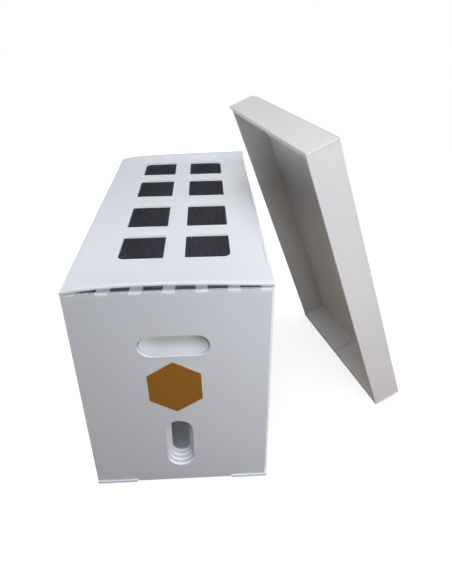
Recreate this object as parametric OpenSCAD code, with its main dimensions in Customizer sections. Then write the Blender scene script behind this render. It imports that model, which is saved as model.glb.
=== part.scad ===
// Six-frame nuc box folded from fluted plastic sheet.
// A box with double end walls, a vented cover on a fold, and a loose roof that leans beside it.
// Millimetres. The origin is at the middle of the underside, +Z up, the entrance end faces -Y.

/* [Sheet] */
// Thickness of the fluted sheet
sheet = 4; // [3:0.5:5]
// Air between sheets that lie against each other
lay = 0.5; // [0.3:0.1:0.8]
// Clearance between pieces that part from each other
play = 0.3; // [0.2:0.1:0.5]
// Rounding on the outside of a fold
fold_r = 3; // [1:0.5:3]

/* [Body] */
// Outside width
body_w = 250; // [240:1:280]
// Outside length
body_d = 485; // [480:1:500]
// Height of the walls
body_h = 335; // [325:1:350]

/* [Frame rests] */
// Number of frames side by side
frames = 6; // [4:1:6]
// Spacing of the frames
frame_pitch = 38.5; // [36:0.5:39]
// Width of the notch that takes a frame's lug
notch_w = 24.5; // [20:0.5:28]
// Depth of the lug seat below the top of the walls
lug_drop = 12; // [10:0.5:15]

/* [Hand slots] */
// Length of the slot
slot_w = 90; // [80:1:110]
// Height of the slot
slot_h = 32; // [28:1:36]
// Place of the slot's middle, sideways
slot_x = 1; // [-5:0.5:5]
// Height of the slot's middle
slot_z = 254; // [230:1:270]
// How far the flap in the slot leans in
flap_lean = 16; // [10:1:16]

/* [Entrance] */
// Width of the entrance
entry_w = 37; // [30:1:45]
// Height of the entrance
entry_h = 91; // [60:1:100]
// Height of the entrance's lower end
entry_z = 31.5; // [20:0.5:40]
// How much higher each deeper sheet's hole is cut
entry_step = 4; // [0:0.5:4]
// How much narrower each deeper sheet's hole is cut, at each side
entry_narrow = 2; // [0:0.5:3]

/* [Foot tabs] */
// Width of the tab that laps over the floor's end
foot_w = 138; // [100:1:160]
// Place of the tab's middle, sideways
foot_x = 3; // [-5:0.5:5]
// How far the floor's ears beside a tab stand past the end panel
ear_past = 2; // [0:0.5:4]

/* [Cover] */
// Gap from the cover's free edge to the wall's outer face
cover_inset = 1; // [0.5:0.5:2]
// Length of a tongue on the right wall
tongue_l = 50; // [30:1:60]
// Spacing of the tongues
tongue_pitch = 169; // [150:1:175]
// Place of the middle tongue along the wall
tongue_y = 3; // [-6:1:6]

/* [Vent] */
// Width of a window
window_w = 59.5; // [50:0.5:62]
// Bar between the two columns of windows
middle_bar = 27.5; // [20:0.5:30]
// Length of an end window
end_window = 66; // [55:0.5:70]
// Length of a middle window
mid_window = 76.5; // [65:0.5:80]
// Bar between an end window and a middle one
side_bar = 27.5; // [20:0.5:30]
// Bar across the middle
cross_bar = 38; // [30:0.5:42]
// Gap from the cover's front edge to the first window
vent_front = 69; // [60:1:75]
// Place of the vent's middle, sideways
vent_x = 3; // [-5:0.5:5]
// Rounding at the four outer corners of the vent
vent_r = 10; // [5:0.5:15]
// Gaps of the net, across and along
net_gaps = [12, 24];
// Width of a strand of the net
strand = 2.2; // [1:0.1:3]
// Thickness of the net
net_t = 0.8; // [0.5:0.1:1.2]

/* [Roof] */
// Room from the body's outside to the roof's outside, at each side and at each end
roof_over = [7.5, 9.5];
// Height of the roof over its rim
roof_h = 48; // [40:1:60]
// Length of the corner tabs behind the end skirts
corner_l = 126; // [60:1:127]
// How far the end skirts stand past the long skirt, at the head and at the foot
skirt_past = [12, 6];

/* [Roof stance] */
// Where the roof's foot stands
roof_foot = [296.5, 6.5];
// Turn of the roof about the vertical
roof_turn = 15.8; // [0:0.1:25]
// Lean of the roof towards the box
roof_lean = 20.3; // [15:0.1:20.5]

/* [Label] */
// Height and width of the six-sided label
label_size = [87, 70];
// Place of the label's middle, sideways
label_x = -1; // [-5:0.5:5]
// Height of the label's middle
label_z = 185; // [170:1:190]
// Turn of the label, which is stuck on by hand
label_turn = 1; // [-3:0.5:3]
// Thickness of the label
label_t = 0.4; // [0.2:0.1:0.6]

/* [Hidden] */
$fn = 64;

white = [0.93, 0.94, 0.95];
pearl = [0.88, 0.89, 0.91];
inside = [0.80, 0.81, 0.83];
black = [0.12, 0.12, 0.12];
brown = [0.55, 0.35, 0.10];

half_w = body_w / 2;
half_d = body_d / 2;
wall_in = half_w - sheet;
panel_low = sheet + play;
panel_high = body_h - sheet;
lug_z = body_h - lug_drop;
slot_low = slot_z - slot_h / 2;

// Outer face of a sheet in the end wall, counted inwards from 0, seen at the front end
function layer_y(k) = -half_d + k * (sheet + lay);
end_inner = layer_y(3) + sheet;

// The outer end panel stops short of the right wall's fold and covers the left one
panel_x = [-half_w + 0.5, half_w - 3.5];

// The fold's round back lies on the left wall and carries the cover
fold_back = (sheet - 0.2) / 2;
fold_x = -half_w + fold_back;
fold_z = body_h + fold_back;
cover_z = body_h + play;
cover_left = fold_x + fold_back + play;
cover_right = half_w - cover_inset;

vent_y = -half_d + vent_front;
vent_rows = [
    [0, end_window],
    [end_window + side_bar, mid_window],
    [end_window + side_bar + mid_window + cross_bar, mid_window],
    [end_window + 2 * side_bar + 2 * mid_window + cross_bar, end_window]
];
vent_l = vent_rows[3][0] + end_window;
vent_w = 2 * window_w + middle_bar;
net_margin = 9;

roof_w = body_w + 2 * roof_over[0];
roof_l = body_d + 2 * roof_over[1];
skirt_h = roof_h - sheet;

// Round-ended slot, along whichever side is longer
module pill(w, h) {
    r = min(w, h) / 2;
    square([w - (w > h ? 2 * r : 0), h - (h > w ? 2 * r : 0)], center = true);
    for (s = [-1, 1])
        translate(w > h ? [s * (w / 2 - r), 0] : [0, s * (h / 2 - r)])
            circle(r);
}

// Rectangle with chosen corner radii: lower left, lower right, upper right, upper left
module soft_corners(w, h, radii) {
    corners = [[0, 0], [1, 0], [1, 1], [0, 1]];
    difference() {
        square([w, h]);
        for (i = [0:3])
            if (radii[i] > 0)
                translate([corners[i][0] * w, corners[i][1] * h])
                    mirror([corners[i][0], 0])
                        mirror([0, corners[i][1]])
                            difference() {
                                translate([-1, -1]) square(radii[i] + 1);
                                translate([radii[i], radii[i]]) circle(radii[i]);
                            }
    }
}

// Stand a drawing up in the X-Z plane, from y inwards
module upright(y, t = sheet) {
    translate([0, y + t, 0]) rotate([90, 0, 0]) linear_extrude(t) children();
}

// Run a drawing in the Y-Z plane along X
module along_x(from, to) {
    translate([from, 0, 0]) rotate([90, 0, 90]) linear_extrude(to - from) children();
}

// Run a drawing in the X-Z plane along Y
module along_y(from, to) {
    translate([0, to, 0]) rotate([90, 0, 0]) linear_extrude(to - from) children();
}

// The rear end is the front end seen in a mirror
module at_rear() {
    mirror([0, 1, 0]) children();
}

// Centres of the lug notches
function notch_x(i) = (i - (frames - 1) / 2) * frame_pitch;

module lug_notches() {
    for (i = [0:frames - 1])
        translate([notch_x(i) - notch_w / 2, 0])
            children();
}

// The entrance hole in one sheet of the end wall
module entrance_hole(layer) {
    translate([0, entry_z + entry_h / 2 + layer * entry_step])
        pill(entry_w - 2 * layer * entry_narrow, entry_h);
}

module hand_slot() {
    translate([slot_x, slot_z]) pill(slot_w, slot_h);
}

// Room behind the slot for the flap and for fingers
module hand_room() {
    room = 3;
    translate([slot_x - slot_w / 2 - room, slot_z - slot_h / 2 - room])
        soft_corners(slot_w + 2 * room, slot_h + 2 * room, [8, 8, 8, 8]);
}

// The floor runs out under the end panels in two ears, one on each side of a foot tab
module floor_panel() {
    end_y = half_d + ear_past;
    color(inside)
        difference() {
            along_y(-end_y, end_y)
                translate([-half_w, 0]) soft_corners(body_w, sheet, [fold_r, fold_r, 0, 0]);
            for (y = [-end_y - 1, -layer_y(1)])
                translate([foot_x - foot_w / 2 - play, y, -1])
                    cube([foot_w + 2 * play, end_y + 1 + layer_y(1), sheet + 2]);
        }
}

module left_wall() {
    color(white)
        translate([-half_w, layer_y(2), sheet])
            linear_extrude(body_h - sheet)
                soft_corners(sheet, -2 * layer_y(2), [fold_r, 0, 0, fold_r]);
}

// The right wall's tongues come up through the cover's edge
module right_wall() {
    color(white) {
        translate([wall_in, layer_y(1), sheet])
            linear_extrude(body_h - sheet)
                soft_corners(sheet, -2 * layer_y(1), [0, fold_r, fold_r, 0]);
        for (i = [-1:1])
            translate([wall_in, tongue_y + i * tongue_pitch - tongue_l / 2, body_h])
                cube([sheet, tongue_l, cover_z + sheet - body_h]);
    }
}

module end_outer_panel() {
    upright(layer_y(0))
        difference() {
            union() {
                translate([panel_x[0], panel_low]) square([panel_x[1] - panel_x[0], panel_high - panel_low]);
                translate([foot_x - foot_w / 2, 0]) soft_corners(foot_w, 2 * sheet, [fold_r, fold_r, 0, 0]);
            }
            hand_slot();
            children();
        }
}

// Flap folded in from the right wall, under the outer panel
module end_right_flap() {
    upright(layer_y(1))
        difference() {
            translate([panel_x[0], panel_low]) square([wall_in - panel_x[0], lug_z - play - panel_low]);
            hand_room();
            children();
        }
}

// Flap folded in from the left wall, under the right flap
module end_left_flap() {
    upright(layer_y(2))
        difference() {
            translate([-wall_in, panel_low]) square([2 * wall_in - play, lug_z - play - panel_low]);
            hand_room();
            children();
        }
}

module end_inner_panel() {
    upright(layer_y(3))
        difference() {
            translate([-wall_in + play, panel_low]) square([2 * (wall_in - play), panel_high - panel_low]);
            lug_notches() translate([0, lug_z]) square([notch_w, lug_drop]);
            children();
        }
}

// Strip over the top of the end wall. A notch for each frame's lug is cut right up to the fold,
// where the sheet ends in a square edge.
module end_rest_strip() {
    land = layer_y(1) - play;
    difference() {
        union() {
            along_x(panel_x[0], panel_x[1])
                translate([layer_y(0), panel_high])
                    soft_corners(land - layer_y(0), sheet, [0, 0, 0, fold_r]);
            translate([0, layer_y(0), panel_high])
                linear_extrude(sheet)
                    lug_notches() square([notch_w, land - layer_y(0)]);
            translate([-wall_in + play, land, panel_high])
                cube([2 * (wall_in - play), end_inner - land, sheet]);
        }
        translate([0, layer_y(1), panel_high - 1])
            linear_extrude(sheet + 2)
                lug_notches() square([notch_w, end_inner - layer_y(1) + 1]);
    }
}

module front_outer_panel() { color(white) end_outer_panel() entrance_hole(0); }
module front_right_flap() { color(pearl) end_right_flap() entrance_hole(1); }
module front_left_flap() { color(pearl) end_left_flap() entrance_hole(2); }
module front_inner_panel() { color(inside) end_inner_panel() entrance_hole(3); }
module front_rest_strip() { color(white) end_rest_strip(); }

module rear_outer_panel() { color(white) at_rear() end_outer_panel(); }
module rear_right_flap() { color(pearl) at_rear() end_right_flap(); }
module rear_left_flap() { color(pearl) at_rear() end_left_flap(); }
module rear_inner_panel() { color(inside) at_rear() end_inner_panel(); }
module rear_rest_strip() { color(white) at_rear() end_rest_strip(); }

// The punched-out flap stays on its lower edge and leans in against the inner panel
module end_hand_flap() {
    translate([slot_x, layer_y(0) + sheet, slot_low])
        rotate([-flap_lean, 0, 0])
            upright(-sheet)
                translate([0, slot_h / 2]) pill(slot_w - 2 * play, slot_h - 2 * play);
}

module front_hand_flap() { color(pearl) end_hand_flap(); }
module rear_hand_flap() { color(pearl) at_rear() end_hand_flap(); }

module label() {
    corner = label_size[0] / 4;
    color(brown)
        upright(layer_y(0) - label_t, label_t)
            translate([label_x, label_z]) rotate(label_turn)
                polygon([
                    [0, 2 * corner], [label_size[1] / 2, corner], [label_size[1] / 2, -corner],
                    [0, -2 * corner], [-label_size[1] / 2, -corner], [-label_size[1] / 2, corner]
                ]);
}

// Round back of the fold between the left wall and the cover
module cover_fold() {
    color(white)
        along_y(-half_d + play, half_d - play)
            difference() {
                translate([fold_x, fold_z]) circle(fold_back);
                translate([-half_w, body_h - 1]) square([sheet, 1]);
            }
}

// One large round-cornered opening crossed by bars
module vent_windows() {
    intersection() {
        translate([vent_x - vent_w / 2, vent_y])
            soft_corners(vent_w, vent_l, [vent_r, vent_r, vent_r, vent_r]);
        for (row = vent_rows, s = [-1, 1])
            translate([vent_x + s * (middle_bar + window_w) / 2 - window_w / 2, vent_y + row[0]])
                square([window_w, row[1]]);
    }
}

module cover_sheet() {
    color(white)
        translate([0, 0, cover_z])
            linear_extrude(sheet)
                difference() {
                    translate([cover_left, -half_d]) square([cover_right - cover_left, body_d]);
                    vent_windows();
                    for (i = [-1:1])
                        translate([wall_in - 2 * play, tongue_y + i * tongue_pitch - tongue_l / 2 - 2 * play])
                            square([sheet, tongue_l + 4 * play]);
                }
}

module net_outline(margin) {
    translate([vent_x - vent_w / 2 - margin, vent_y - margin])
        square([vent_w + 2 * margin, vent_l + 2 * margin]);
}

module vent_net() {
    size = [vent_w + 2 * net_margin, vent_l + 2 * net_margin];
    pitch = [(size[0] - strand) / net_gaps[0], (size[1] - strand) / net_gaps[1]];
    color(black)
        translate([0, 0, cover_z - net_t])
            linear_extrude(net_t)
                difference() {
                    net_outline(net_margin);
                    for (i = [0:net_gaps[0] - 1], j = [0:net_gaps[1] - 1])
                        translate([
                            vent_x - size[0] / 2 + strand + i * pitch[0],
                            vent_y - net_margin + strand + j * pitch[1]
                        ])
                            square([pitch[0] - strand, pitch[1] - strand]);
                }
}

// Tape that holds the net's border to the cover
module net_tape() {
    tape_t = 0.3;
    color(inside)
        translate([0, 0, cover_z - net_t - tape_t])
            linear_extrude(tape_t)
                difference() {
                    net_outline(net_margin + 8);
                    net_outline(2);
                }
}

// The roof is drawn lying flat on its rim: near side -X, far side +X, head +Y, foot -Y
module lean_roof() {
    translate([roof_foot[0], roof_foot[1], 0])
        rotate([0, -roof_lean, roof_turn])
            translate([0, 0, roof_l / 2])
                rotate([90, 0, 90])
                    children();
}

module roof_top() {
    color(white)
        lean_roof()
            intersection() {
                along_y(-roof_l / 2, roof_l / 2)
                    translate([-roof_w / 2, skirt_h]) soft_corners(roof_w, sheet, [0, 0, fold_r, fold_r]);
                along_x(-roof_w / 2, roof_w / 2)
                    translate([-roof_l / 2, skirt_h]) soft_corners(roof_l, sheet, [0, 0, fold_r, fold_r]);
            }
}

// Long skirts run between the end skirts
module long_skirt(side) {
    run = roof_l - 2 * (sheet + play);
    translate([side * (roof_w - sheet) / 2 - sheet / 2, -run / 2, 0]) cube([sheet, run, skirt_h]);
}

// End skirts lap over the ends of the long skirts and stand a little past the far one
module end_skirt(end, past) {
    translate([-roof_w / 2, end * (roof_l - sheet) / 2 - sheet / 2, 0]) cube([roof_w + past, sheet, skirt_h]);
}

// Tabs of the long skirts, turned in behind the end skirts until they nearly meet, with a slanted free end
module corner_tab(side, end) {
    slant = 8;
    base = roof_w / 2 - sheet;
    mirror([side < 0 ? 1 : 0, 0, 0])
        mirror([0, end > 0 ? 1 : 0, 0])
            upright(-roof_l / 2 + sheet + play)
                polygon([
                    [base, 1], [base, skirt_h - play],
                    [base - corner_l + slant, skirt_h - play], [base - corner_l, 1]
                ]);
}

module roof_near_skirt() { color(white) lean_roof() long_skirt(-1); }
module roof_far_skirt() { color(white) lean_roof() long_skirt(1); }
module roof_head_skirt() { color(white) lean_roof() end_skirt(1, skirt_past[0]); }
module roof_foot_skirt() { color(white) lean_roof() end_skirt(-1, skirt_past[1]); }
module roof_tab_near_head() { color(pearl) lean_roof() corner_tab(-1, 1); }
module roof_tab_near_foot() { color(pearl) lean_roof() corner_tab(-1, -1); }
module roof_tab_far_head() { color(pearl) lean_roof() corner_tab(1, 1); }
module roof_tab_far_foot() { color(pearl) lean_roof() corner_tab(1, -1); }

floor_panel();
left_wall();
right_wall();
front_outer_panel();
front_right_flap();
front_left_flap();
front_inner_panel();
front_rest_strip();
rear_outer_panel();
rear_right_flap();
rear_left_flap();
rear_inner_panel();
rear_rest_strip();
front_hand_flap();
rear_hand_flap();
label();
cover_fold();
cover_sheet();
vent_net();
net_tape();
roof_top();
roof_near_skirt();
roof_far_skirt();
roof_head_skirt();
roof_foot_skirt();
roof_tab_near_head();
roof_tab_near_foot();
roof_tab_far_head();
roof_tab_far_foot();
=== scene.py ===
import math

import bmesh
import bpy
from mathutils import Matrix, Vector


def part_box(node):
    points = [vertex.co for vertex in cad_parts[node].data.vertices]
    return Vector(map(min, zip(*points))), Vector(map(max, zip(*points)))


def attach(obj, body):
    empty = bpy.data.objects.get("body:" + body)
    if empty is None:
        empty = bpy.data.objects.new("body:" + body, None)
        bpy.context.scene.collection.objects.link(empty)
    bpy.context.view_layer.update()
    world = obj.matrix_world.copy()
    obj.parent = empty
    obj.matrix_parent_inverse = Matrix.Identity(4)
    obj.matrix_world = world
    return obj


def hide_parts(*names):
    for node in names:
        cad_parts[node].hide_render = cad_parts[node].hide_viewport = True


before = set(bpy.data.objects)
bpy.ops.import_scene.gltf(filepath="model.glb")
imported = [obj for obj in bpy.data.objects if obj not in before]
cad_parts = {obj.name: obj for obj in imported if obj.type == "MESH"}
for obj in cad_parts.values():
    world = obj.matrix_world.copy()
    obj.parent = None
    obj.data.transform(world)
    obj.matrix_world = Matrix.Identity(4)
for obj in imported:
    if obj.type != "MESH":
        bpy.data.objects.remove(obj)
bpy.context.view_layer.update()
scene = bpy.context.scene
print("stage 1: frame loaded")


# Small helpers for node trees

def addNode(tree, kind, inputs=(), **settings):
    node = tree.nodes.new(kind)
    for key, value in settings.items():
        setattr(node, key, value)
    for key, value in dict(inputs).items():
        if isinstance(value, bpy.types.NodeSocket):
            tree.links.new(value, node.inputs[key])
        else:
            node.inputs[key].default_value = value
    return node


def mathNode(tree, operation, *values):
    return addNode(tree, "ShaderNodeMath", enumerate(values), operation=operation).outputs[0]


def vectorNode(tree, operation, *values):
    return addNode(tree, "ShaderNodeVectorMath", enumerate(values), operation=operation).outputs[0]


def noiseNode(tree, place, **values):
    return addNode(tree, "ShaderNodeTexNoise", {"Vector": place, **values}).outputs["Fac"]


def rangeNode(tree, value, low, high, toLow=0.0, toHigh=1.0, **settings):
    limits = {"From Min": low, "From Max": high, "To Min": toLow, "To Max": toHigh}
    return addNode(tree, "ShaderNodeMapRange", {"Value": value, **limits}, **settings).outputs["Result"]


def attributeNode(tree, name):
    return addNode(tree, "ShaderNodeAttribute", attribute_name=name).outputs["Fac"]


def groupNode(tree, group, inputs):
    return addNode(tree, "ShaderNodeGroup", inputs, node_tree=group).outputs


def mixColours(tree, factor, first, second):
    return addNode(tree, "ShaderNodeMix", {0: factor, 6: first, 7: second}, data_type="RGBA").outputs[2]


def newGroup(name, kind, inputs, outputs):
    tree = bpy.data.node_groups.new(name, kind)
    for label, socket, value in inputs:
        made = tree.interface.new_socket(name=label, in_out="INPUT", socket_type=socket)
        if value is not None:
            made.default_value = value
    for label, socket in outputs:
        tree.interface.new_socket(name=label, in_out="OUTPUT", socket_type=socket)
    return tree, tree.nodes.new("NodeGroupInput"), tree.nodes.new("NodeGroupOutput")


# Shared surface effects

fluteLook = {"pitch": 0.0045, "drift": 14.0, "wander": 0.6, "sharp": 4.0, "patches": 5.0, "weakest": 0.35}
wearLook = {"clouds": 7.0, "grain": 900.0, "scratches": (38.0, 70.0, 110.0), "worn": (0.64, 0.8)}
cloudSpread = (0.35, 0.65)  # most of a noise lies between these


def makeFluteGroup():
    tree, source, result = newGroup(
        "fluteStreaks", "ShaderNodeTree",
        [("Across", "NodeSocketFloat", 0.0), ("Pitch", "NodeSocketFloat", fluteLook["pitch"]),
         ("Place", "NodeSocketVector", None)],
        [("Rib", "NodeSocketFloat"), ("Height", "NodeSocketFloat")],
    )
    take = source.outputs
    drift = noiseNode(tree, take["Place"], Scale=fluteLook["drift"], Detail=2.0)
    wander = mathNode(tree, "MULTIPLY", mathNode(tree, "SUBTRACT", drift, 0.5), fluteLook["wander"])
    turns = mathNode(tree, "ADD", mathNode(tree, "DIVIDE", take["Across"], take["Pitch"]), wander)
    wave = mathNode(tree, "COSINE", mathNode(tree, "MULTIPLY", turns, 2 * math.pi))
    lifted = mathNode(tree, "MULTIPLY_ADD", wave, 0.5, 0.5)
    rib = mathNode(tree, "POWER", lifted, fluteLook["sharp"])
    strength = noiseNode(tree, take["Place"], Scale=fluteLook["patches"], Detail=1.0)
    uneven = rangeNode(tree, strength, *cloudSpread, fluteLook["weakest"], 1.0)
    tree.links.new(mathNode(tree, "MULTIPLY", rib, uneven), result.inputs["Rib"])
    tree.links.new(lifted, result.inputs["Height"])
    return tree


def makeWearGroup():
    tree, source, result = newGroup(
        "sheetWear", "ShaderNodeTree",
        [("Place", "NodeSocketVector", None), ("Amount", "NodeSocketFloat", 1.0)],
        [("Cloud", "NodeSocketFloat"), ("Scuff", "NodeSocketFloat"), ("Grain", "NodeSocketFloat")],
    )
    place, amount = source.outputs["Place"], source.outputs["Amount"]
    cloud = noiseNode(tree, place, Scale=wearLook["clouds"], Detail=3.0, Roughness=0.45)
    grain = noiseNode(tree, place, Scale=wearLook["grain"], Detail=2.0)
    stretched = vectorNode(tree, "MULTIPLY", place, wearLook["scratches"])
    scratch = noiseNode(tree, stretched, Scale=1.0, Detail=5.0, Roughness=0.7, Distortion=0.6)
    scuff = rangeNode(tree, scratch, *wearLook["worn"], interpolation_type="SMOOTHSTEP")
    tree.links.new(cloud, result.inputs["Cloud"])
    tree.links.new(mathNode(tree, "MULTIPLY", scuff, amount), result.inputs["Scuff"])
    tree.links.new(grain, result.inputs["Grain"])
    return tree


fluteGroup = makeFluteGroup()
wearGroup = makeWearGroup()


def newMaterial(name):
    material = bpy.data.materials.new(name)
    material.use_nodes = True
    tree = material.node_tree
    place = addNode(tree, "ShaderNodeTexCoord").outputs["Object"]
    return material, tree, tree.nodes["Principled BSDF"], place


def addBump(tree, surface, height, strength):
    bump = addNode(tree, "ShaderNodeBump", {"Height": height, "Strength": strength, "Distance": 1.0})
    tree.links.new(bump.outputs["Normal"], surface.inputs["Normal"])


sheetLook = {
    "cool": (0.775, 0.815, 0.875, 1), "warm": (0.805, 0.825, 0.855, 1),
    "roofCool": (0.785, 0.785, 0.800, 1), "roofWarm": (0.805, 0.795, 0.790, 1),
    "rib": (0.72, 0.74, 0.77, 1), "ribShare": 0.08,
    "scuff": (0.60, 0.60, 0.60, 1), "scuffShare": 0.3, "wear": 0.6,
    # cut edges have a lighter colour of their own, which is also the colour of the painted glow below
    "cut": (0.90, 0.895, 0.88, 1), "cutShare": 0.85,
    "rough": 0.42, "scuffRough": 0.15, "cutRough": 0.2, "specular": 0.4,
    "through": 0.32, "edgeGlowShare": 0.11,  # strength of a painted glow, an emission standing in for light the milky plastic lets through, and the glow's share on cut edges
    "fluteHeight": 0.000012, "cloudHeight": 0.0012, "grainHeight": 0.000012, "bump": 0.6,
}


def makeSheetMaterial(name, cool, warm):
    look = sheetLook
    material, tree, surface, place = newMaterial(name)
    across, cut, glowMask = (attributeNode(tree, word) for word in ("across", "cutEdge", "throughLight"))
    flutes = groupNode(tree, fluteGroup, {"Across": across, "Pitch": fluteLook["pitch"], "Place": place})
    wear = groupNode(tree, wearGroup, {"Place": place, "Amount": look["wear"]})
    skin = mathNode(tree, "SUBTRACT", 1.0, cut)
    ribs = mathNode(tree, "MULTIPLY", mathNode(tree, "MULTIPLY", flutes["Rib"], skin), look["ribShare"])
    scuffs = mathNode(tree, "MULTIPLY", wear["Scuff"], look["scuffShare"])
    cuts = mathNode(tree, "MULTIPLY", cut, look["cutShare"])
    colour = mixColours(tree, rangeNode(tree, wear["Cloud"], *cloudSpread), cool, warm)
    colour = mixColours(tree, ribs, colour, look["rib"])
    colour = mixColours(tree, scuffs, colour, look["scuff"])
    colour = mixColours(tree, cuts, colour, look["cut"])
    tree.links.new(colour, surface.inputs["Base Color"])
    rough = mathNode(tree, "MULTIPLY_ADD", wear["Scuff"], look["scuffRough"], look["rough"])
    rough = mathNode(tree, "MULTIPLY_ADD", cut, look["cutRough"], rough)
    tree.links.new(rough, surface.inputs["Roughness"])
    surface.inputs["Specular IOR Level"].default_value = look["specular"]
    # Painted glow: cut edges and faces in the glow mask emit light in the cut colour, though they are no lamp
    paintedGlowAmount = mathNode(tree, "MULTIPLY_ADD", cut, look["edgeGlowShare"], glowMask)
    tree.links.new(mixColours(tree, paintedGlowAmount, (0, 0, 0, 1), look["cut"]), surface.inputs["Emission Color"])
    surface.inputs["Emission Strength"].default_value = look["through"]
    height = mathNode(tree, "MULTIPLY", mathNode(tree, "MULTIPLY", flutes["Height"], skin), look["fluteHeight"])
    height = mathNode(tree, "MULTIPLY_ADD", wear["Cloud"], look["cloudHeight"], height)
    height = mathNode(tree, "MULTIPLY_ADD", wear["Grain"], look["grainHeight"], height)
    addBump(tree, surface, height, look["bump"])
    return material


netLook = {
    "dark": (0.021, 0.022, 0.026, 1), "light": (0.047, 0.050, 0.058, 1),
    "scuff": (0.09, 0.09, 0.09, 1), "scuffShare": 0.5, "rough": 0.60, "grainRough": 0.25, "specular": 0.3,
}


def makeNetMaterial():
    material, tree, surface, place = newMaterial("blackNet")
    wear = groupNode(tree, wearGroup, {"Place": place, "Amount": 1.0})
    scuffs = mathNode(tree, "MULTIPLY", wear["Scuff"], netLook["scuffShare"])
    colour = mixColours(tree, wear["Cloud"], netLook["dark"], netLook["light"])
    tree.links.new(mixColours(tree, scuffs, colour, netLook["scuff"]), surface.inputs["Base Color"])
    rough = mathNode(tree, "MULTIPLY_ADD", wear["Grain"], netLook["grainRough"], netLook["rough"])
    tree.links.new(rough, surface.inputs["Roughness"])
    surface.inputs["Specular IOR Level"].default_value = netLook["specular"]
    return material


tapeLook = {
    "dark": (0.62, 0.63, 0.65, 1), "light": (0.74, 0.75, 0.76, 1),
    "thread": (0.5, 0.5, 0.52, 1), "threadShare": 0.15, "threads": 320.0,
    "rough": 0.32, "threadHeight": 0.00004, "bump": 0.5,
}


def makeTapeMaterial():
    material, tree, surface, place = newMaterial("borderTape")
    wear = groupNode(tree, wearGroup, {"Place": place, "Amount": 1.0})
    wave = {"Vector": place, "Scale": tapeLook["threads"], "Distortion": 0.6, "Detail": 1.0}
    threads = addNode(tree, "ShaderNodeTexWave", wave).outputs["Fac"]
    lines = mathNode(tree, "MULTIPLY", threads, tapeLook["threadShare"])
    colour = mixColours(tree, wear["Cloud"], tapeLook["dark"], tapeLook["light"])
    tree.links.new(mixColours(tree, lines, colour, tapeLook["thread"]), surface.inputs["Base Color"])
    surface.inputs["Roughness"].default_value = tapeLook["rough"]
    addBump(tree, surface, mathNode(tree, "MULTIPLY", threads, tapeLook["threadHeight"]), tapeLook["bump"])
    return material


labelLook = {
    "dark": (0.345, 0.142, 0.014, 1), "light": (0.395, 0.166, 0.018, 1), "fibres": (60.0, 60.0, 420.0),
    "spread": (0.3, 0.7), "scuff": (0.45, 0.24, 0.07, 1), "scuffShare": 0.25, "wear": 0.5,
    "rough": 0.36, "grainRough": 0.1,
}


def makeLabelMaterial():
    material, tree, surface, place = newMaterial("brownLabel")
    wear = groupNode(tree, wearGroup, {"Place": place, "Amount": labelLook["wear"]})
    stretched = vectorNode(tree, "MULTIPLY", place, labelLook["fibres"])
    tone = rangeNode(tree, noiseNode(tree, stretched, Scale=1.0, Detail=4.0), *labelLook["spread"])
    scuffs = mathNode(tree, "MULTIPLY", wear["Scuff"], labelLook["scuffShare"])
    colour = mixColours(tree, tone, labelLook["dark"], labelLook["light"])
    tree.links.new(mixColours(tree, scuffs, colour, labelLook["scuff"]), surface.inputs["Base Color"])
    rough = mathNode(tree, "MULTIPLY_ADD", wear["Grain"], labelLook["grainRough"], labelLook["rough"])
    tree.links.new(rough, surface.inputs["Roughness"])
    return material


sheetMaterial = makeSheetMaterial("flutedSheet", sheetLook["cool"], sheetLook["warm"])
roofMaterial = makeSheetMaterial("roofSheet", sheetLook["roofCool"], sheetLook["roofWarm"])
netMaterial = makeNetMaterial()
tapeMaterial = makeTapeMaterial()
labelMaterial = makeLabelMaterial()
print("stage 2: materials made")


# Geometry trees

def finishTree(tree, result, geometry, material):
    whole = addNode(tree, "GeometryNodeRealizeInstances", {"Geometry": geometry})
    painted = addNode(tree, "GeometryNodeSetMaterial", {"Geometry": whole.outputs[0], "Material": material})
    tree.links.new(painted.outputs[0], result.inputs["Geometry"])


def makeFluteEndsTree():
    tree, source, result = newGroup(
        "fluteEnds", "GeometryNodeTree",
        [("Geometry", "NodeSocketGeometry", None), ("First", "NodeSocketVector", None),
         ("Step", "NodeSocketVector", None), ("Count", "NodeSocketInt", 10),
         ("Cell", "NodeSocketVector", None), ("Material", "NodeSocketMaterial", None)],
        [("Geometry", "NodeSocketGeometry")],
    )
    take = source.outputs
    line = addNode(tree, "GeometryNodeMeshLine", {
        "Count": take["Count"], "Start Location": take["First"], "Offset": take["Step"]})
    cube = addNode(tree, "GeometryNodeMeshCube", {"Size": take["Cell"]})
    cells = addNode(tree, "GeometryNodeInstanceOnPoints", {
        "Points": line.outputs[0], "Instance": cube.outputs["Mesh"]})
    solid = addNode(tree, "GeometryNodeRealizeInstances", {"Geometry": cells.outputs[0]})
    cutOut = addNode(tree, "GeometryNodeMeshBoolean", {
        "Mesh 1": take["Geometry"], "Mesh 2": solid.outputs[0]}, operation="DIFFERENCE", solver="EXACT")
    finishTree(tree, result, cutOut.outputs["Mesh"], take["Material"])
    return tree


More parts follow.
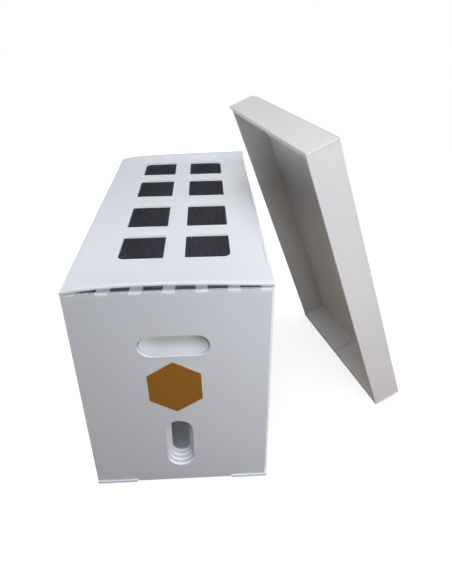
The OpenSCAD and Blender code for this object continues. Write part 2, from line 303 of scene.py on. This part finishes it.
def makeWovenNetTree():
    tree, source, result = newGroup(
        "wovenNet", "GeometryNodeTree",
        [("Geometry", "NodeSocketGeometry", None), ("Width", "NodeSocketFloat", 0.16),
         ("Length", "NodeSocketFloat", 0.4), ("Across", "NodeSocketInt", 65), ("Along", "NodeSocketInt", 159),
         ("Strand", "NodeSocketFloat", 0.0004), ("Wave", "NodeSocketFloat", 0.0003),
         ("Middle", "NodeSocketVector", None), ("Material", "NodeSocketMaterial", None)],
        [("Geometry", "NodeSocketGeometry")],
    )
    take = source.outputs
    grid = addNode(tree, "GeometryNodeMeshGrid", {
        "Size X": take["Width"], "Size Y": take["Length"],
        "Vertices X": take["Across"], "Vertices Y": take["Along"]})
    pitchX = mathNode(tree, "DIVIDE", take["Width"], mathNode(tree, "SUBTRACT", take["Across"], 1))
    pitchY = mathNode(tree, "DIVIDE", take["Length"], mathNode(tree, "SUBTRACT", take["Along"], 1))
    position = addNode(tree, "GeometryNodeInputPosition").outputs[0]
    spot = addNode(tree, "ShaderNodeSeparateXYZ", {"Vector": position}).outputs
    stepX, stepY = mathNode(tree, "DIVIDE", spot["X"], pitchX), mathNode(tree, "DIVIDE", spot["Y"], pitchY)
    steps = mathNode(tree, "ROUND", mathNode(tree, "ADD", stepX, stepY))
    overUnder = mathNode(tree, "MULTIPLY_ADD", mathNode(tree, "PINGPONG", steps, 1), 2, -1)
    ends = addNode(tree, "GeometryNodeInputMeshEdgeVertices").outputs
    edge = vectorNode(tree, "SUBTRACT", ends["Position 1"], ends["Position 2"])
    run = addNode(tree, "ShaderNodeSeparateXYZ", {"Vector": edge}).outputs
    profile = addNode(tree, "GeometryNodeCurvePrimitiveCircle", {"Resolution": 4, "Radius": take["Strand"]})
    joined = tree.nodes.new("GeometryNodeJoinGeometry")
    for axis, sign in (("X", 1), ("Y", -1)):  # strands along one way go over where the others go under
        lift = mathNode(tree, "MULTIPLY", overUnder, mathNode(tree, "MULTIPLY", take["Wave"], sign))
        shift = addNode(tree, "ShaderNodeCombineXYZ", {"Z": lift})
        waved = addNode(tree, "GeometryNodeSetPosition", {
            "Geometry": grid.outputs["Mesh"], "Offset": shift.outputs[0]})
        crossing = mathNode(tree, "GREATER_THAN", mathNode(tree, "ABSOLUTE", run[axis]), 1e-5)
        kept = addNode(tree, "GeometryNodeDeleteGeometry", {
            "Geometry": waved.outputs[0], "Selection": crossing}, domain="EDGE", mode="EDGE_FACE")
        strands = addNode(tree, "GeometryNodeMeshToCurve", {"Mesh": kept.outputs[0]})
        tubes = addNode(tree, "GeometryNodeCurveToMesh", {
            "Curve": strands.outputs[0], "Profile Curve": profile.outputs[0]})
        tree.links.new(tubes.outputs[0], joined.inputs[0])
    moved = addNode(tree, "GeometryNodeTransform", {
        "Geometry": joined.outputs[0], "Translation": take["Middle"]})
    finishTree(tree, result, moved.outputs[0], take["Material"])
    return tree


fluteEndsTree = makeFluteEndsTree()
wovenNetTree = makeWovenNetTree()


def applyTree(obj, tree, values):
    modifier = obj.modifiers.new(tree.name, "NODES")
    modifier.node_group = tree
    for item in tree.interface.items_tree:
        if item.in_out == "INPUT" and item.name in values:
            modifier[item.identifier] = values[item.name]
    made = bpy.data.meshes.new_from_object(obj.evaluated_get(bpy.context.evaluated_depsgraph_get()))
    obj.modifiers.remove(modifier)
    old = obj.data
    obj.data = made
    bpy.data.meshes.remove(old)


# Sheet pieces

roofPlace = {"foot": (0.2965, 0.0065, 0.0), "turn": 15.8, "lean": 20.3, "length": 0.504}
roofMatrix = (
    Matrix.Translation(roofPlace["foot"])
    @ Matrix.Rotation(math.radians(roofPlace["turn"]), 4, "Z")
    @ Matrix.Rotation(math.radians(-roofPlace["lean"]), 4, "Y")
    @ Matrix.Translation((0, 0, roofPlace["length"] / 2))
    @ Matrix.Rotation(math.pi / 2, 4, "Z")
    @ Matrix.Rotation(math.pi / 2, 4, "X")
)
axes = {"X": Vector((1, 0, 0)), "Y": Vector((0, 1, 0)), "Z": Vector((0, 0, 1))}


def limited(value):
    return min(1.0, max(0.0, value))


def cutInSteps(solid, axis, places):
    for place in places:
        geometry = solid.verts[:] + solid.edges[:] + solid.faces[:]
        bmesh.ops.bisect_plane(
            solid, geom=geometry, dist=1e-7, plane_co=axes[axis] * place, plane_no=axes[axis])


# The cover is slack: its front edge bows up and its rear edge lifts towards the free corner
coverLow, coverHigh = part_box("cover_sheet")
coverBow = {
    "rise": 0.0068, "tilt": 0.0030, "skew": 0.75, "depth": 0.030,
    "rearRise": 0.0106, "rearSkew": 0.6, "rearDepth": 0.022, "stepsAcross": 20,
    "stepsBack": (0.005, 0.011, 0.018, 0.027, 0.038, 0.052, 0.075, 0.105, 0.15, 0.21, 0.29,
                  0.36, 0.40, 0.425, 0.440, 0.452, 0.462, 0.470, 0.476, 0.481),
}


def bowed(point):
    share = limited((point.x - coverLow.x) / (coverHigh.x - coverLow.x))
    back, ahead = max(0.0, point.y - coverLow.y), max(0.0, coverHigh.y - point.y)
    front = coverBow["rise"] * math.sin(math.pi * share ** coverBow["skew"]) + coverBow["tilt"] * share
    rear = coverBow["rearRise"] * math.sin(math.pi / 2 * share ** coverBow["rearSkew"])
    return front / (1 + (back / coverBow["depth"]) ** 2) + rear / (1 + (ahead / coverBow["rearDepth"]) ** 2)


def bowMesh(mesh):
    solid = bmesh.new()
    solid.from_mesh(mesh)
    width, steps = coverHigh.x - coverLow.x, coverBow["stepsAcross"]
    cutInSteps(solid, "X", [coverLow.x + width * i / steps for i in range(1, steps)])
    cutInSteps(solid, "Y", [coverLow.y + back for back in coverBow["stepsBack"]])
    for vertex in solid.verts:
        vertex.co.z += bowed(vertex.co)
    solid.to_mesh(mesh)
    solid.free()


# A hand flap leans in from its crease, curls back at the tip and is pressed deepest in the middle
flapCurl = {
    "hinge": 0.2385, "low": 0.238, "tall": 0.032, "lean": 16.0, "foot": 46.0, "tip": -14.0,
    "lip": 0.010, "seat": 0.85, "steps": 12, "middle": 0.001, "half": 0.045, "cuts": 10,
    "pressed": 0.022, "fade": 0.023, "held": 0.7, "narrow": 0.985,
}


def curlFlap(mesh, outward):
    lean, start, tip = (math.radians(flapCurl[key]) for key in ("lean", "foot", "tip"))
    tall, middle, steps, cuts = (flapCurl[key] for key in ("tall", "middle", "steps", "cuts"))
    bend = (start - tip) / tall
    solid = bmesh.new()
    solid.from_mesh(mesh)
    for vertex in solid.verts:  # stand the flap upright on its crease
        deep, high = flapCurl["hinge"] - vertex.co.y * outward, vertex.co.z - flapCurl["low"]
        vertex.co.y = deep * math.cos(lean) - high * math.sin(lean)
        vertex.co.z = deep * math.sin(lean) + high * math.cos(lean)
    cutInSteps(solid, "Z", [tall * i / steps for i in range(1, steps)])
    cutInSteps(solid, "X", [middle + flapCurl["half"] * i / cuts for i in range(1 - cuts, cuts)])
    for vertex in solid.verts:
        angle = start + (tip - start) * limited(vertex.co.z / tall)
        aside = limited((abs(vertex.co.x - middle) - flapCurl["pressed"]) / flapCurl["fade"])
        sunk = (math.cos(angle) - math.cos(start)) / bend * (1 - flapCurl["held"] * aside ** 2)
        lip = flapCurl["seat"] * max(0.0, 1 - vertex.co.z / flapCurl["lip"]) ** 2
        deep = sunk + vertex.co.y * math.cos(angle)
        high = (math.sin(start) - math.sin(angle)) / bend - vertex.co.y * math.sin(angle) * (1 - lip)
        vertex.co.x = middle + (vertex.co.x - middle) * flapCurl["narrow"]
        vertex.co.y, vertex.co.z = outward * (flapCurl["hinge"] - deep), flapCurl["low"] + high
    solid.to_mesh(mesh)
    solid.free()


sheetEdge = {
    "weld": 2e-6, "flat": 1, "sharp": 40, "smooth": 17,  # a length, then angles in degrees
    "round": 0.0004, "frontRun": 0.01, "steep": 0.6,
}


def cadSolid(node, place):
    solid = bmesh.new()
    solid.from_mesh(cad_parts[node].data)
    bmesh.ops.remove_doubles(solid, verts=solid.verts, dist=sheetEdge["weld"])
    solid.transform(place.inverted())
    flat = math.radians(sheetEdge["flat"])
    bmesh.ops.dissolve_limit(solid, angle_limit=flat, verts=solid.verts, edges=solid.edges)
    return solid


def sharpEdges(solid):
    sharp = math.radians(sheetEdge["sharp"])
    return [e for e in solid.edges if len(e.link_faces) == 2 and e.calc_face_angle() > sharp]


def bevelEdges(solid, edges, width, segments):
    bmesh.ops.bevel(
        solid, geom=edges, offset=width, segments=segments, profile=0.5, affect="EDGES", clamp_overlap=True)


def roundFront(solid, width):
    lowest = min(v.co.y for v in solid.verts)
    ahead = [
        e for e in sharpEdges(solid)
        if all(v.co.y < lowest + 1e-5 for v in e.verts)
        and abs(e.verts[0].co.x - e.verts[1].co.x) > sheetEdge["frontRun"]
    ]
    bevelEdges(solid, ahead, width, 3)


def paintSheet(mesh, spec):
    skins, across = [axes[letter] for letter in spec["normal"]], axes[spec["across"]]
    values = mesh.attributes.new("across", "FLOAT", "POINT")
    for vertex, item in zip(mesh.vertices, values.data):
        item.value = vertex.co.dot(across)
    cut = mesh.attributes.new("cutEdge", "FLOAT", "FACE")
    for face, item in zip(mesh.polygons, cut.data):
        item.value = 1.0 if all(abs(face.normal.dot(skin)) < sheetEdge["steep"] for skin in skins) else 0.0


# Painted light: an emission glow, standing in for light through the milky cover, on the lands under its lip
# where the cover shades them, and on the edges of its windows

def paintLandGlow(mesh, lip):
    glowMask = mesh.attributes.new("throughLight", "FLOAT", "POINT")
    for vertex, item in zip(mesh.vertices, glowMask.data):
        item.value = lip["most"] * limited((lip["edge"] - abs(vertex.co.y)) / lip["depth"])


def paintWindowGlow(mesh, rim):
    glowMask = mesh.attributes.new("throughLight", "FLOAT", "FACE")
    for face, item in zip(mesh.polygons, glowMask.data):
        inner = abs(face.center.x - rim["middle"]) < rim["reach"] and abs(face.center.y) < rim["length"]
        item.value = rim["most"] if inner and abs(face.normal.z) < sheetEdge["steep"] else 0.0


def smoothMesh(mesh):
    mesh.polygons.foreach_set("use_smooth", [True] * len(mesh.polygons))
    mesh.set_sharp_from_angle(angle=math.radians(sheetEdge["smooth"]))
    mesh.update()


def sheetPiece(name, spec):
    place = spec.get("place", Matrix.Identity(4))
    material = spec.get("material", sheetMaterial)
    solid = cadSolid(spec["node"], place)
    if "front" in spec:
        roundFront(solid, spec["front"])
    width = spec.get("round", sheetEdge["round"])
    if width > 0:
        bevelEdges(solid, sharpEdges(solid), width, 2)
    mesh = bpy.data.meshes.new(name)
    solid.to_mesh(mesh)
    solid.free()
    obj = bpy.data.objects.new(name, mesh)
    scene.collection.objects.link(obj)
    for line in spec.get("fluteEnds", []):
        applyTree(obj, fluteEndsTree, {**line, "Material": material})
    if "bow" in spec:
        bowMesh(obj.data)
    if "curl" in spec:
        curlFlap(obj.data, spec["curl"])
    if "normal" in spec:
        paintSheet(obj.data, spec)
    if "lip" in spec:
        paintLandGlow(obj.data, spec["lip"])
    if "rim" in spec:
        paintWindowGlow(obj.data, spec["rim"])
    obj.data.transform(place)
    smoothMesh(obj.data)
    obj.data.materials.clear()
    obj.data.materials.append(material)
    obj.data.name = name
    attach(obj, spec["body"])
    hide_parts(spec["node"])


cell = {"pitch": fluteLook["pitch"], "tall": 0.0031, "wide": 0.0041, "coverDeep": 0.06, "notchDeep": 0.006}
notch = {"pitch": 0.0385, "count": 6, "flutes": 5, "land": 0.2404, "top": 0.335}

floorSheet = {"node": "floor_panel", "body": "box", "normal": "Z", "across": "Y"}
leftWall = {"node": "left_wall", "body": "box", "normal": "X", "across": "Y"}
rightWall = {"node": "right_wall", "body": "box", "normal": "X", "across": "Y"}
sheetPiece("floorSheet", floorSheet)
sheetPiece("leftWall", leftWall)
sheetPiece("rightWall", rightWall)


def notchFlutes(index, outward):
    middle = (index - (notch["count"] - 1) / 2) * notch["pitch"]
    first = middle - (notch["flutes"] - 1) / 2 * cell["pitch"]
    return {
        "First": (first, outward * notch["land"], notch["top"]), "Step": (cell["pitch"], 0, 0),
        "Count": notch["flutes"], "Cell": (cell["wide"], cell["tall"], cell["notchDeep"]),
    }


for end, outward in (("front", -1), ("rear", 1)):
    for part in ("outer_panel", "right_flap", "left_flap", "inner_panel"):
        endSheet = {"node": f"{end}_{part}", "body": "box", "normal": "Y", "across": "X"}
        words = part.split("_")
        sheetPiece(end + words[0].title() + words[1].title(), endSheet)
    # The strip's top faces count as cut edges here, so they take the lighter cut colour and its painted glow;
    # the lip entry paints a glow on the lands where the cover shades them
    restStrip = {
        "node": f"{end}_rest_strip", "body": "box", "normal": "Y", "across": "X",
        "lip": {"edge": 0.2425, "depth": 0.010, "most": 0.5},
        "fluteEnds": [notchFlutes(i, outward) for i in range(notch["count"])],
    }
    sheetPiece(end + "RestStrip", restStrip)
    handFlap = {
        "node": f"{end}_hand_flap", "body": f"{end}_flap", "normal": "Y", "across": "X", "curl": outward,
    }
    sheetPiece(end + "HandFlap", handFlap)
print("stage 3: box made")

coverFold = {"node": "cover_fold", "body": "box", "normal": "XZ", "across": "Y", "round": 0}
sheetPiece("coverFold", coverFold)

coverMiddle = (coverLow + coverHigh) / 2
coverCount = int((coverHigh.y - coverLow.y) / cell["pitch"]) - 1
# The rim entry paints a glow on the cut edges of the cover's windows, though they are no lamp
coverSheet = {
    "node": "cover_sheet", "body": "cover", "normal": "Z", "across": "Y", "bow": True, "front": 0.0013,
    "rim": {"middle": 0.003, "reach": 0.08, "length": 0.22, "most": 0.9},
    "fluteEnds": [{
        "First": (coverHigh.x, coverMiddle.y - (coverCount - 1) / 2 * cell["pitch"], coverMiddle.z),
        "Step": (0, cell["pitch"], 0), "Count": coverCount,
        "Cell": (cell["coverDeep"], cell["wide"], cell["tall"]),
    }],
}
sheetPiece("coverSheet", coverSheet)

tapeRing = {
    "node": "net_tape", "body": "cover", "material": tapeMaterial, "slot": "tape", "round": 0, "bow": True,
}
sheetPiece("tapeRing", tapeRing)

netLow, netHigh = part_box("vent_net")
wovenNet = {"pitch": 0.0025, "strand": 0.00045, "wave": 0.00030, "margin": 0.001}


def oddCount(length):
    return 2 * int(length / wovenNet["pitch"] / 2) + 1


def makeNet():
    width, length = netHigh.x - netLow.x - wovenNet["margin"], netHigh.y - netLow.y - wovenNet["margin"]
    obj = bpy.data.objects.new("wovenNet", bpy.data.meshes.new("wovenNet"))
    scene.collection.objects.link(obj)
    applyTree(obj, wovenNetTree, {
        "Width": width, "Length": length, "Across": oddCount(width), "Along": oddCount(length),
        "Strand": wovenNet["strand"], "Wave": wovenNet["wave"],
        "Middle": (netLow + netHigh) / 2, "Material": netMaterial,
    })
    for vertex in obj.data.vertices:
        vertex.co.z += bowed(vertex.co)
    obj.data.name = "wovenNet"
    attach(obj, "cover")
    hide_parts("vent_net")


makeNet()
print("stage 4: cover and net made")

sticker = {"node": "label", "body": "box", "material": labelMaterial, "slot": "label", "round": 0.00012}
sheetPiece("sticker", sticker)

roofSheet = {"body": "roof", "place": roofMatrix, "material": roofMaterial}
roofTop = {**roofSheet, "node": "roof_top", "normal": "ZXY", "across": "X"}
sheetPiece("roofTop", roofTop)
for side in ("near", "far"):
    longSkirt = {**roofSheet, "node": f"roof_{side}_skirt", "normal": "X", "across": "Z"}
    sheetPiece(f"roof{side.title()}Skirt", longSkirt)
    for end in ("head", "foot"):
        cornerTab = {**roofSheet, "node": f"roof_tab_{side}_{end}", "normal": "Y", "across": "Z"}
        sheetPiece(f"roofTab{side.title()}{end.title()}", cornerTab)
for end in ("head", "foot"):
    endSkirt = {**roofSheet, "node": f"roof_{end}_skirt", "normal": "Y", "across": "X"}
    sheetPiece(f"roof{end.title()}Skirt", endSkirt)
print("stage 5: roof and label made")


# Floor, light and camera

floorLook = {"size": 12.0, "glow": 0.80, "seen": 0.30, "bounce": (0.20, 0.15, 0.085)}


def makeFloor():
    mesh = bpy.data.meshes.new("floor")
    half = floorLook["size"] / 2
    corners = [(-half, -half, 0), (half, -half, 0), (half, half, 0), (-half, half, 0)]
    mesh.from_pydata(corners, [], [(0, 1, 2, 3)])
    floor = bpy.data.objects.new("floor", mesh)
    scene.collection.objects.link(floor)
    material = bpy.data.materials.new("floorWhite")
    material.use_nodes = True
    tree = material.node_tree
    tree.nodes.clear()
    # The camera sees white with the shadow on it; the object gets only a dull bounce
    seen = addNode(tree, "ShaderNodeLightPath").outputs["Is Camera Ray"]
    shade = addNode(tree, "ShaderNodeBsdfDiffuse", {"Color": (floorLook["seen"],) * 3 + (1,)})
    glow = addNode(tree, "ShaderNodeEmission", {"Strength": floorLook["glow"]})
    white = addNode(tree, "ShaderNodeAddShader", {0: shade.outputs[0], 1: glow.outputs[0]})
    dull = addNode(tree, "ShaderNodeBsdfDiffuse", {"Color": floorLook["bounce"] + (1,)})
    both = addNode(tree, "ShaderNodeMixShader", {0: seen, 1: dull.outputs[0], 2: white.outputs[0]})
    result = tree.nodes.new("ShaderNodeOutputMaterial")
    tree.links.new(both.outputs[0], result.inputs["Surface"])
    mesh.materials.append(material)


makeFloor()

skyLook = {"low": (0.15, 0.15, 0.155, 1), "high": (0.18, 0.185, 0.20, 1), "horizon": -0.1, "strength": 0.06}


def makeSky():
    world = bpy.data.worlds.new("studio")
    scene.world = world
    world.use_nodes = True
    tree = world.node_tree
    tree.nodes.clear()
    seen = addNode(tree, "ShaderNodeLightPath").outputs["Is Camera Ray"]
    towards = addNode(tree, "ShaderNodeTexCoord").outputs["Generated"]
    height = addNode(tree, "ShaderNodeSeparateXYZ", {"Vector": towards}).outputs["Z"]
    sky = mixColours(tree, rangeNode(tree, height, skyLook["horizon"], 1.0), skyLook["low"], skyLook["high"])
    ambient = addNode(tree, "ShaderNodeBackground", {"Color": sky, "Strength": skyLook["strength"]})
    plain = addNode(tree, "ShaderNodeBackground", {"Color": (1, 1, 1, 1), "Strength": 1.0})
    shown = addNode(tree, "ShaderNodeMixShader", {0: seen, 1: ambient.outputs[0], 2: plain.outputs[0]})
    result = tree.nodes.new("ShaderNodeOutputWorld")
    tree.links.new(shown.outputs[0], result.inputs["Surface"])


makeSky()


def addLight(name, data, towards):
    light = bpy.data.objects.new(name, data)
    light.rotation_mode = "QUATERNION"
    light.rotation_quaternion = Vector(towards).to_track_quat("Z", "Y")
    scene.collection.objects.link(light)
    return light


suns = {
    "skyLight": {"from": (-0.12, 0.08, 1.0), "power": 2.05, "colour": (1.0, 0.977, 0.925), "soft": 55},
    "frontSky": {"from": (-0.03, -0.50, 1.0), "power": 0.42, "colour": (0.48, 0.62, 1.0), "soft": 30},
}
for name, sun in suns.items():
    sunData = bpy.data.lights.new(name, "SUN")
    sunData.energy, sunData.color, sunData.angle = sun["power"], sun["colour"], math.radians(sun["soft"])
    addLight(name, sunData, sun["from"])

windows = {
    "sideWindow": {"place": (1.3, -0.9, 0.30), "aim": (0.2, -0.15, 0.20),
                   "power": 7.2, "side": 0.6, "colour": (1.0, 0.93, 0.95)},
    "topWindow": {"place": (0.10, -0.75, 1.30), "aim": (0.33, 0.05, 0.48),
                  "power": 3.9, "side": 0.4, "colour": (0.975, 0.985, 1.0)},
    "nearWindow": {"place": (0.34, -0.64, 0.42), "aim": (0.06, -0.24, 0.26),
                   "power": 0.80, "side": 0.25, "colour": (0.80, 0.93, 1.0)},
    "backWindow": {"place": (-0.05, 1.4, 0.16), "aim": (0.02, 0.2425, 0.17),
                   "power": 6.2, "side": 0.25, "colour": (0.97, 0.985, 1.0)},
    "leftWindow": {"place": (-0.8, 0.05, 0.12), "aim": (-0.125, 0.0, 0.16),
                   "power": 2.4, "side": 0.22, "colour": (0.97, 0.985, 1.0)},
    "rightWindow": {"place": (1.5, 0.26, 0.12), "aim": (0.33, 0.05, 0.22),
                    "power": 3.6, "side": 0.25, "colour": (0.98, 0.99, 1.0)},
    "warmGlow": {"place": (0.13, 0.0, 0.19), "aim": (0.3, 0.04, 0.22),  # between the box and the roof
                 "power": 0.012, "side": 0.3, "colour": (1.0, 0.52, 0.12)},
}
for name, window in windows.items():
    windowData = bpy.data.lights.new(name, "AREA")
    windowData.energy, windowData.color, windowData.size = window["power"], window["colour"], window["side"]
    light = addLight(name, windowData, Vector(window["place"]) - Vector(window["aim"]))
    light.location = window["place"]
    light.visible_camera = False

lens = {
    "focal": 460.49, "middle": (226.0, 235.0), "size": (452, 584), "sensor": 36.0,
    "place": (0.0484, -0.6859, 0.6387), "yaw": -2.439, "pitch": 27.555, "roll": 0.538, "clip": (0.05, 60),
}


def makeCamera():
    data = bpy.data.cameras.new("camera")
    camera = bpy.data.objects.new("camera", data)
    scene.collection.objects.link(camera)
    yaw, pitch, roll = (math.radians(lens[key]) for key in ("yaw", "pitch", "roll"))
    right = Vector((math.cos(yaw), math.sin(yaw), 0))
    forward = Vector((-math.sin(yaw) * math.cos(pitch), math.cos(yaw) * math.cos(pitch), -math.sin(pitch)))
    down = forward.cross(right)
    rightward = right * math.cos(roll) + down * math.sin(roll)
    upward = right * math.sin(roll) - down * math.cos(roll)
    turn = Matrix((rightward, upward, -forward)).transposed().to_4x4()
    camera.matrix_world = Matrix.Translation(lens["place"]) @ turn
    wide, tall = lens["size"]
    data.sensor_width, data.lens = lens["sensor"], lens["focal"] / tall * lens["sensor"]
    data.shift_x = (wide / 2 - lens["middle"][0]) / tall
    data.shift_y = (lens["middle"][1] - tall / 2) / tall
    data.clip_start, data.clip_end = lens["clip"]
    scene.camera = camera


makeCamera()
scene.view_settings.view_transform = "Standard"
print("stage 6: floor, light and camera made")
